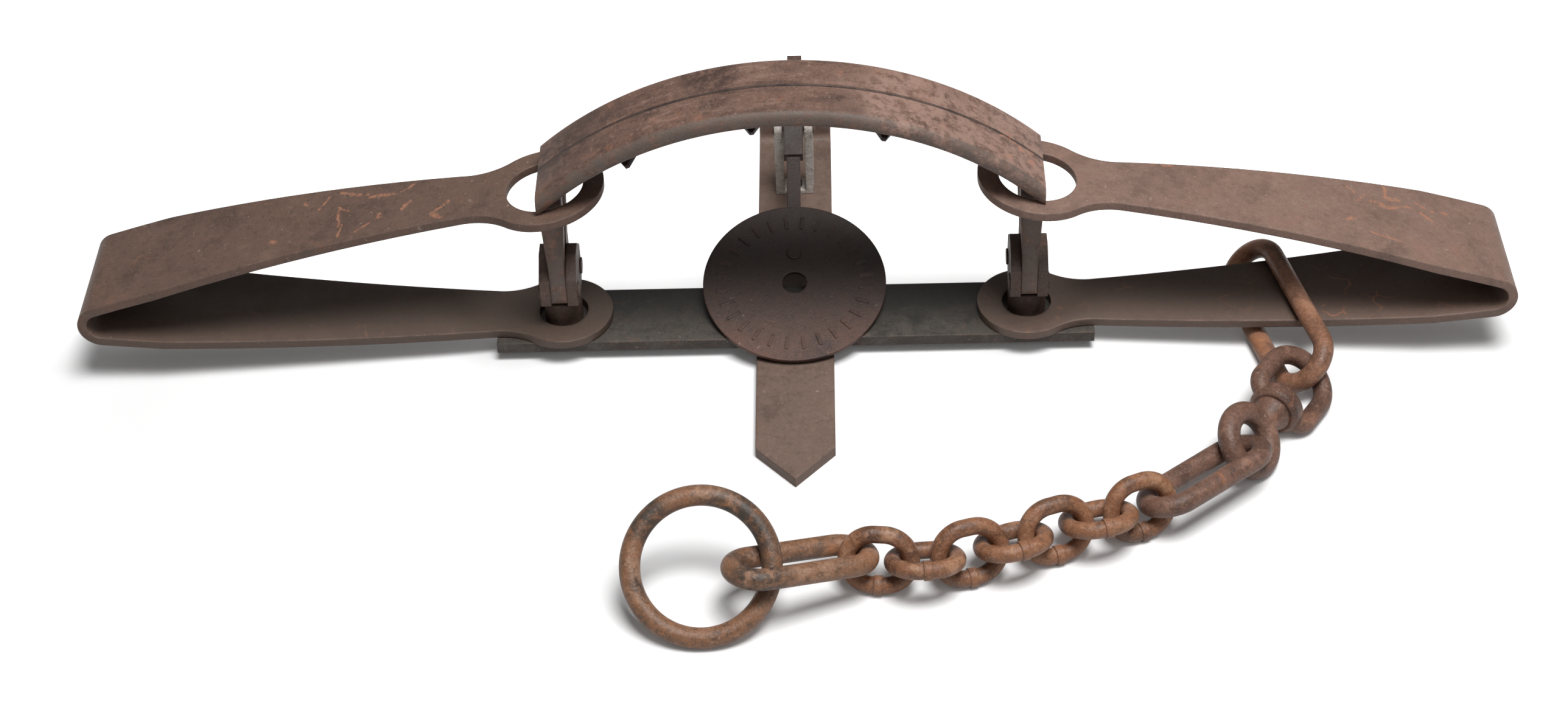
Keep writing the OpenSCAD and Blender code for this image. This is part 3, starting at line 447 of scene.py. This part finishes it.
# Nodes that are rubbed or stained unlike the rest of their slot
OWN_LOOK = {"drag_ring": "ring_steel", "long_link_2": "ring_steel", "pan_bracket": "ear_steel",
            "shackle": "shackle_steel", "swivel_bow": "swivel_steel", "swivel_eye": "swivel_steel",
            "long_link_1": "swivel_steel"}


def dress_nodes():
    """Gives each CAD node the steel its material slot names, or its own, and returns the steels by name."""
    steels = {name: rusted(name, **look) for name, look in STEELS.items()}
    for part in frame["record"]["subparts"]:
        node = nodes[part["node"]]
        node.data.materials.clear()
        node.data.materials.append(steels[OWN_LOOK.get(part["node"], part["material_slot"])])
    return steels


def make_spring(side, steel):
    """One continuous bent leaf that stands for a spring's two CAD leaves and bends at its end."""
    shape = bmesh.new()
    for part in ("lower", "upper"):
        shape.from_mesh(nodes[f"{side}_spring_{part}"].data)
    bmesh.ops.remove_doubles(shape, verts=shape.verts, dist=WELD)
    seam = [face for face in shape.faces
            if face.normal.z ** 2 > UPRIGHT and abs(face.calc_center_median().z - BEND_Z) < WELD]
    bmesh.ops.delete(shape, geom=seam, context="FACES_ONLY")
    bmesh.ops.remove_doubles(shape, verts=shape.verts, dist=WELD)
    bmesh.ops.recalc_face_normals(shape, faces=shape.faces)
    for face in shape.faces:
        face.smooth = True
    mesh = bpy.data.meshes.new(f"{side}_spring")
    shape.to_mesh(mesh)
    shape.free()
    mesh.set_sharp_from_angle(angle=SHARP)
    mesh.materials.append(steel)
    spring = bpy.data.objects.new(f"{side}_spring", mesh)
    scene.collection.objects.link(spring)
    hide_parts(f"{side}_spring_lower", f"{side}_spring_upper")
    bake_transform(spring)


def make_floor():
    """Pale floor that shows white to the camera and keeps the object's shadow, except behind the trap, where
    painted light washes it out.
    """
    mesh = bpy.data.meshes.new("floor")
    corners = [(x * FLOOR_HALF, y * FLOOR_HALF, 0) for x, y in ((-1, -1), (1, -1), (1, 1), (-1, 1))]
    mesh.from_pydata(corners, [], [(0, 1, 2, 3)])
    net = Net("floor")
    here = net.where()
    paint = net.mix(net.step(net.noise(here, "floor"), 0.3, 0.7), *FLOOR_PAINT)
    path = net.add("ShaderNodeLightPath").outputs
    seen = net.most(net.most(path["Is Camera Ray"], path["Is Glossy Ray"]), path["Is Transmission Ray"])
    matte = net.add("ShaderNodeBsdfDiffuse")
    net.link(net.mix(seen, FLOOR_SHADE, paint), matte.inputs["Color"])
    # painted light behind the trap, which washes out its shadow there
    behind = net.times(net.step(net.split(here)["Y"], *BACK_RISE), BACK_GLOW)
    far = net.times(net.step(net.vector("LENGTH", here), *FAR_RISE), FAR_GLOW)
    glow = net.add("ShaderNodeEmission")
    net.link(net.times(seen, net.plus(net.most(behind, far), NEAR_GLOW)), glow.inputs["Strength"])
    both = net.add("ShaderNodeAddShader")
    net.link(matte.outputs["BSDF"], both.inputs[0])
    net.link(glow.outputs["Emission"], both.inputs[1])
    net.link(both.outputs["Shader"], net.out.inputs["Surface"])
    mesh.materials.append(net.material)
    floor = bpy.data.objects.new("floor", mesh)
    scene.collection.objects.link(floor)


def make_light():
    """A large soft box overhead, lower ones in front and behind, and a faint white surround."""
    scene.world = bpy.data.worlds.new("studio")
    scene.world.use_nodes = True
    surround = scene.world.node_tree.nodes["Background"]
    surround.inputs["Color"].default_value = WHITE
    surround.inputs["Strength"].default_value = SURROUND
    for name, (place, size, power) in LAMPS.items():
        data = bpy.data.lights.new(name, "AREA")
        data.shape = "RECTANGLE"
        data.size, data.size_y = size
        data.energy = power
        light = bpy.data.objects.new(name, data)
        light.location = place
        light.rotation_euler = (-Vector(place)).to_track_quat("-Z", "Y").to_euler()
        scene.collection.objects.link(light)


def make_camera():
    """Camera at the photograph's angle, aimed at the origin and slid sideways in its own plane."""
    forward = Vector((math.sin(VIEW_TURN) * math.cos(VIEW_DOWN),
                      math.cos(VIEW_TURN) * math.cos(VIEW_DOWN),
                      -math.sin(VIEW_DOWN)))
    level = Vector((math.cos(VIEW_TURN), -math.sin(VIEW_TURN), 0))
    upright = level.cross(forward)
    right = math.cos(VIEW_ROLL) * level + math.sin(VIEW_ROLL) * upright
    up = -math.sin(VIEW_ROLL) * level + math.cos(VIEW_ROLL) * upright
    place = -forward * VIEW_AWAY + right * VIEW_SHIFT[0] + up * VIEW_SHIFT[1]
    data = bpy.data.cameras.new("camera")
    data.sensor_fit = "HORIZONTAL"
    data.sensor_width = SENSOR_MM
    data.lens = LENS_MM
    data.clip_end = VIEW_END
    camera = bpy.data.objects.new("camera", data)
    turn = Matrix((right, up, -forward)).transposed()
    camera.matrix_world = Matrix.Translation(place) @ turn.to_4x4()
    scene.collection.objects.link(camera)
    scene.camera = camera


make_camera()
make_light()
make_floor()
steels = dress_nodes()
# The left spring takes the darker copy and the right the lighter one: painted shade and painted light
make_spring("left", steels["leaf_steel"])
make_spring("right", steels["right_leaf_painted_lit_steel"])

scene.view_layers[0].update()
